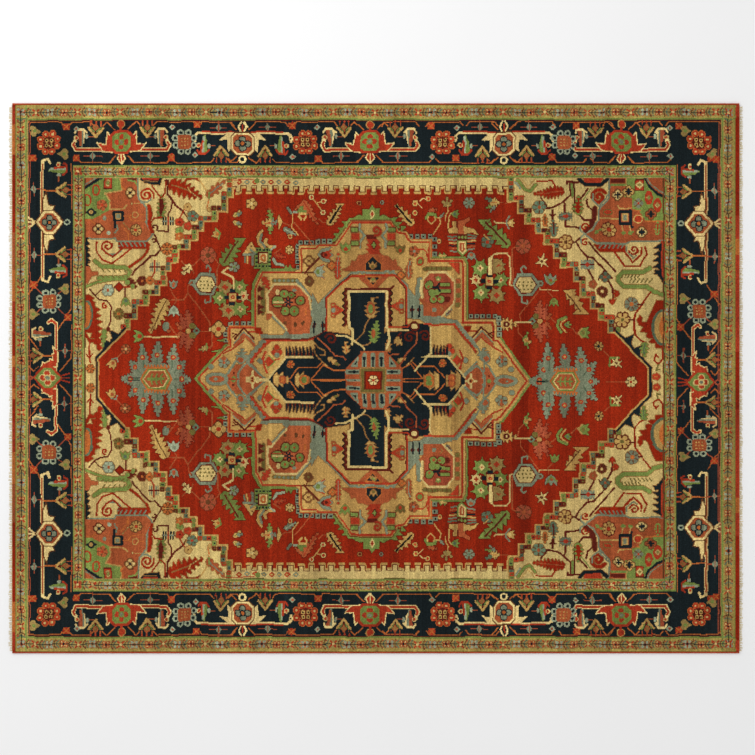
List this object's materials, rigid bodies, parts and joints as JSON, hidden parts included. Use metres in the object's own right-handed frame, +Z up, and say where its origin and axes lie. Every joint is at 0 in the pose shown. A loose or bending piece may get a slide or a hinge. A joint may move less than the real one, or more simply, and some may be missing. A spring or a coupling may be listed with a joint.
{
  "type": "area rug",
  "caption": "Large rectangular hand-knotted wool area rug with a stepped medallion, framed borders, bound long sides and short fringed ends.",
  "frame": {"origin": "on the floor, under the middle of the rug with its fringes: the bottom centre of the whole part's box", "axes": "+X along the rug's length, the way the warps run, with a fringe at each end; +Y across it, with a bound side at each side; +Z up out of the pile"},
  "size_m": [3.668, 2.7524, 0.011],
  "materials": {
    "cotton_foundation": "undyed cotton, plain woven, matt",
    "cotton_fringe": "ivory cotton warp ends, matt",
    "overcast_wool": "rust-red wool wrapped side by side, matt",
    "end_band_wool": "madder-red cut pile with streaks of lighter dye",
    "guard_wool": "khaki cut pile with small florets",
    "border_wool": "navy cut pile with palmettes and rosettes",
    "spandrel_wool": "cream cut pile with terracotta and green corners",
    "ground_wool": "madder-red cut pile with streaks of lighter and darker dye",
    "medallion_wool": "gold, blue-grey and terracotta cut pile"
  },
  "bodies": {
    "root": {"foundation_cloth": "cotton_foundation", "web_end_west": "cotton_fringe", "web_end_east": "cotton_fringe", "fringe_west": "cotton_fringe", "fringe_east": "cotton_fringe", "selvedge_cord_north": "cotton_foundation", "selvedge_cord_south": "cotton_foundation", "selvedge_overcast_north": "overcast_wool", "selvedge_overcast_south": "overcast_wool", "end_band_pile_west": "end_band_wool", "end_band_pile_east": "end_band_wool", "outer_guard_pile_north": "guard_wool", "outer_guard_pile_south": "guard_wool", "outer_guard_pile_west": "guard_wool", "outer_guard_pile_east": "guard_wool", "main_border_pile_north": "border_wool", "main_border_pile_south": "border_wool", "main_border_pile_west": "border_wool", "main_border_pile_east": "border_wool", "inner_guard_pile_north": "guard_wool", "inner_guard_pile_south": "guard_wool", "inner_guard_pile_west": "guard_wool", "inner_guard_pile_east": "guard_wool", "spandrel_pile_nw": "spandrel_wool", "spandrel_pile_ne": "spandrel_wool", "spandrel_pile_sw": "spandrel_wool", "spandrel_pile_se": "spandrel_wool", "margin_pile_north": "spandrel_wool", "margin_pile_south": "spandrel_wool", "ground_pile_west": "ground_wool", "ground_pile_east": "ground_wool", "medallion_pile": "medallion_wool"}
  },
  "joints": []
}
